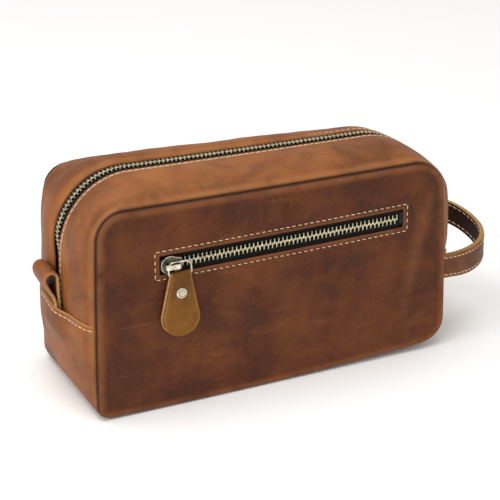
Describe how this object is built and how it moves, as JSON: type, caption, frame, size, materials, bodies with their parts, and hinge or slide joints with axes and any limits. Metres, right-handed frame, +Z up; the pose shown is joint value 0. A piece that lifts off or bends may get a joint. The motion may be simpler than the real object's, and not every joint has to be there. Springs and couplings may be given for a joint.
{
  "type": "leather toiletry bag",
  "caption": "Soft leather toiletry bag with a zip over its top and down both ends, a zipped front pocket, a loop handle and a zip-end tab.",
  "frame": {"origin": "centre of the flat base, on the surface that the bag stands on", "axes": "+X along the bag towards the handle, -Y the front with the pocket, +Z up"},
  "size_m": [0.346, 0.1185, 0.1584],
  "materials": {
    "leather_front": "waxed pull-up leather, dark red-brown with lighter rubbed patches",
    "leather_body": "waxed pull-up leather, tan with darker patches",
    "leather_strap": "waxed leather strap with raw light edges",
    "leather_strap_inside": "dark brown strap lining leather",
    "leather_pull": "golden brown waxed leather",
    "lining_cloth": "plain woven brown lining",
    "zip_tape": "black herringbone zip tape",
    "zip_teeth": "pale antique metal teeth",
    "slider_metal": "antique gunmetal with bright worn edges",
    "rivet_metal": "antique silver rivet"
  },
  "bodies": {
    "root": {"front_panel": "leather_front", "back_panel": "leather_body", "base_gusset": "leather_body", "front_lining": "lining_cloth", "back_lining": "lining_cloth", "base_lining": "lining_cloth", "zip_strip_front_left": "leather_body", "strip_lining_front_left": "lining_cloth", "zip_tape_front_left": "zip_tape", "zip_teeth_front_left": "zip_teeth", "zip_strip_front_right": "leather_body", "strip_lining_front_right": "lining_cloth", "zip_tape_front_right": "zip_tape", "zip_teeth_front_right": "zip_teeth", "zip_strip_back_left": "leather_body", "strip_lining_back_left": "lining_cloth", "zip_tape_back_left": "zip_tape", "zip_teeth_back_left": "zip_teeth", "zip_strip_back_right": "leather_body", "strip_lining_back_right": "lining_cloth", "zip_tape_back_right": "zip_tape", "zip_teeth_back_right": "zip_teeth", "main_bottom_stop": "zip_teeth", "main_top_stop_front": "zip_teeth", "main_top_stop_back": "zip_teeth", "pocket_tape_lower": "zip_tape", "pocket_tape_upper": "zip_tape", "pocket_teeth_lower": "zip_teeth", "pocket_teeth_upper": "zip_teeth", "pocket_top_stop_lower": "zip_teeth", "pocket_top_stop_upper": "zip_teeth", "pocket_bottom_stop": "zip_teeth", "pocket_bag": "lining_cloth", "handle_root_front": "leather_strap", "handle_root_back": "leather_strap"},
    "front_lip": {"zip_strip_front_top": "leather_body", "strip_lining_front_top": "lining_cloth", "zip_tape_front_top": "zip_tape", "zip_teeth_front_top": "zip_teeth"},
    "back_lip": {"zip_strip_back_top": "leather_body", "strip_lining_back_top": "lining_cloth", "zip_tape_back_top": "zip_tape", "zip_teeth_back_top": "zip_teeth"},
    "handle": {"handle_outer": "leather_strap", "handle_inner": "leather_strap_inside"},
    "end_tab": {"end_tab": "leather_body"},
    "pocket_slider": {"pocket_slider": "slider_metal"},
    "pocket_ring": {"pocket_pull_ring": "slider_metal"},
    "pocket_pull": {"pocket_pull_leather": "leather_pull", "pocket_pull_rivet": "rivet_metal"},
    "main_slider": {"main_slider": "slider_metal"},
    "main_ring": {"main_pull_ring": "slider_metal"},
    "main_pull": {"main_pull_leather": "leather_pull", "main_pull_rivet": "rivet_metal"}
  },
  "joints": [
    {"name": "front_lip_open", "type": "hinge", "parent": "root", "child": "front_lip", "pos_m": [0, -0.0527, 0.15], "axis": [1, 0, 0], "range_deg": [0, 70]},
    {"name": "back_lip_open", "type": "hinge", "parent": "root", "child": "back_lip", "pos_m": [0, 0.0527, 0.15], "axis": [-1, 0, 0], "range_deg": [0, 70]},
    {"name": "handle_swing", "type": "hinge", "parent": "root", "child": "handle", "pos_m": [0.1475, 0, 0.05903], "axis": [0, -1, 0], "range_deg": [-20, 30], "stiffness_Nm_per_rad": 0.2, "springref_deg": 0.77},
    {"name": "tab_flex", "type": "hinge", "parent": "root", "child": "end_tab", "pos_m": [-0.1402, 0.001, 0.063], "axis": [0, -1, 0], "range_deg": [0, 50], "stiffness_Nm_per_rad": 0.02, "springref_deg": -1.15},
    {"name": "pocket_slide", "type": "slide", "parent": "root", "child": "pocket_slider", "axis": [1, 0, 0], "range_m": [0, 0.16]},
    {"name": "pocket_ring_swing", "type": "hinge", "parent": "pocket_slider", "child": "pocket_ring", "pos_m": [-0.0744, -0.0592, 0.107], "axis": [0, -1, 0], "range_deg": [-8, 75]},
    {"name": "pocket_pull_lift", "type": "hinge", "parent": "pocket_ring", "child": "pocket_pull", "pos_m": [-0.0744, -0.0599, 0.1005], "axis": [-1, 0, 0], "range_deg": [0, 100]},
    {"name": "main_slide", "type": "slide", "parent": "root", "child": "main_slider", "axis": [0, 0, 1], "range_m": [0, 0.025]},
    {"name": "main_ring_swing", "type": "hinge", "parent": "main_slider", "child": "main_ring", "pos_m": [0.143, 0, 0.0711], "axis": [1, 0, 0], "range_deg": [-25, 25]},
    {"name": "main_pull_lift", "type": "hinge", "parent": "main_ring", "child": "main_pull", "pos_m": [0.1439, 0, 0.0646], "axis": [0, -1, 0], "range_deg": [0, 20]}
  ]
}
